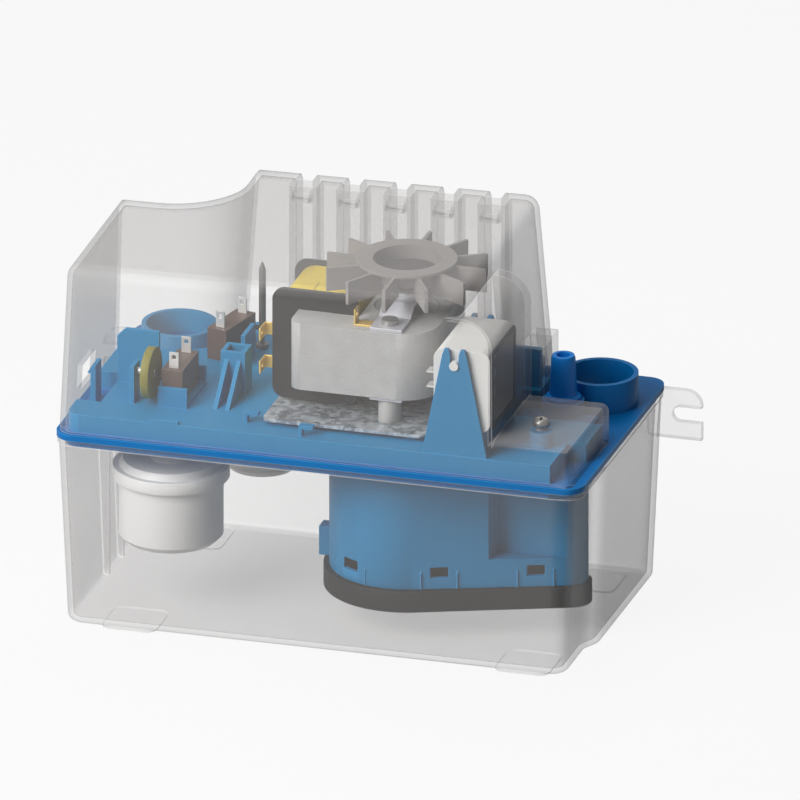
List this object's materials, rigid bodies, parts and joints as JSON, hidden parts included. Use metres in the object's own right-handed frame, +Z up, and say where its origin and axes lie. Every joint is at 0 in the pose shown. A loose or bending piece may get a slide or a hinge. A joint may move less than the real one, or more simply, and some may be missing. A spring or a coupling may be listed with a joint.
{
  "type": "condensate pump",
  "caption": "Tank-mounted condensate removal pump: clear tank with two inlets, floats working switches, and a vertical fan-cooled motor driving an impeller out through a hose spigot.",
  "frame": {"origin": "centre of the footprint, on the surface that the tank's feet stand on", "axes": "+X along the tank towards the outlet end, +Y towards the wall behind, +Z up"},
  "size_m": [0.297, 0.15, 0.1901],
  "materials": {
    "clear_tank": "clear moulded, glossy",
    "clear_cover": "smoky clear moulded, glossy",
    "blue_plastic": "moulded, satin",
    "base_grey": "moulded, satin",
    "white_plastic": "moulded, satin",
    "bobbin_grey": "moulded, satin",
    "fan_grey": "moulded, satin",
    "switch_brown": "moulded, satin",
    "cam_yellow": "moulded, satin",
    "winding_tape": "taped, satin",
    "galvanised_sheet": "zinc spangle",
    "stator_steel": "laminated edges, satin",
    "bracket_steel": "pressed, satin",
    "shaft_steel": "ground",
    "rod_steel": "drawn, dark",
    "screw_steel": "plated",
    "tab_silver": "tinned",
    "brass": "bright",
    "bush_bronze": "sintered",
    "rotor_aluminium": "turned",
    "seal_rubber": "soft"
  },
  "bodies": {
    "pump_frame": {"alarm_switch": "switch_brown", "alarm_switch_terminals": "tab_silver", "base_plate": "blue_plastic", "bearing_bushes": "bush_bronze", "cam_pin": "shaft_steel", "coil_bobbin": "bobbin_grey", "coil_terminals": "brass", "coil_winding": "winding_tape", "connector_blades": "tab_silver", "connector_box": "white_plastic", "connector_pins": "white_plastic", "cover_screw": "screw_steel", "discharge_tube": "blue_plastic", "duct_cover": "blue_plastic", "earth_clip": "brass", "lower_bearing_bracket": "bracket_steel", "main_switch": "switch_brown", "main_switch_terminals": "tab_silver", "motor_cover": "clear_cover", "motor_plate": "galvanised_sheet", "motor_posts": "galvanised_sheet", "motor_screws": "screw_steel", "outlet_spigot": "blue_plastic", "pump_base": "base_grey", "pump_housing": "blue_plastic", "shaft_seal": "seal_rubber", "stator_stack": "stator_steel", "strainer": "base_grey", "tank": "clear_tank", "upper_bearing_bracket": "bracket_steel", "volute_plate": "base_grey"},
    "rotor": {"rotor_core": "rotor_aluminium", "rotor_shaft": "shaft_steel", "cooling_fan": "fan_grey", "impeller": "white_plastic"},
    "main_float_body": {"main_float": "white_plastic", "main_float_rod": "white_plastic"},
    "alarm_float_body": {"alarm_float": "white_plastic", "alarm_float_rod": "rod_steel"},
    "valve_ball": {"non_return_ball": "white_plastic"},
    "cam": {"switch_cam": "cam_yellow"},
    "main_plunger": {"main_switch_plunger": "bobbin_grey"},
    "alarm_plunger": {"alarm_switch_plunger": "bobbin_grey"}
  },
  "joints": [
    {"name": "rotor_spin", "type": "hinge", "parent": "pump_frame", "child": "rotor", "pos_m": [0.027, -0.013, 0.1365], "axis": [0, 0, 1], "continuous": true},
    {"name": "main_float_rise", "type": "slide", "parent": "pump_frame", "child": "main_float_body", "axis": [0, 0, 1], "range_m": [0, 0.01]},
    {"name": "alarm_float_rise", "type": "slide", "parent": "pump_frame", "child": "alarm_float_body", "axis": [0, 0, 1], "range_m": [0, 0.006]},
    {"name": "valve_ball_lift", "type": "slide", "parent": "pump_frame", "child": "valve_ball", "axis": [0, 0, 1], "range_m": [0, 0.002]},
    {"name": "cam_turn", "type": "hinge", "parent": "pump_frame", "child": "cam", "pos_m": [-0.091, -0.044, 0.1235], "axis": [1, 0, 0], "range_deg": [0, 40.11]},
    {"name": "main_plunger_slide", "type": "slide", "parent": "pump_frame", "child": "main_plunger", "axis": [1, 0, 0], "range_m": [0, 0.0008]},
    {"name": "alarm_plunger_slide", "type": "slide", "parent": "pump_frame", "child": "alarm_plunger", "axis": [0.9703, -0.2419, 0], "range_m": [0, 0.0006]}
  ],
  "couplings": [
    {"joint": "cam_turn", "follows": "main_float_rise", "rad_per_m": 70},
    {"joint": "main_plunger_slide", "follows": "main_float_rise", "ratio": 0.08},
    {"joint": "alarm_plunger_slide", "follows": "alarm_float_rise", "ratio": 0.1}
  ]
}
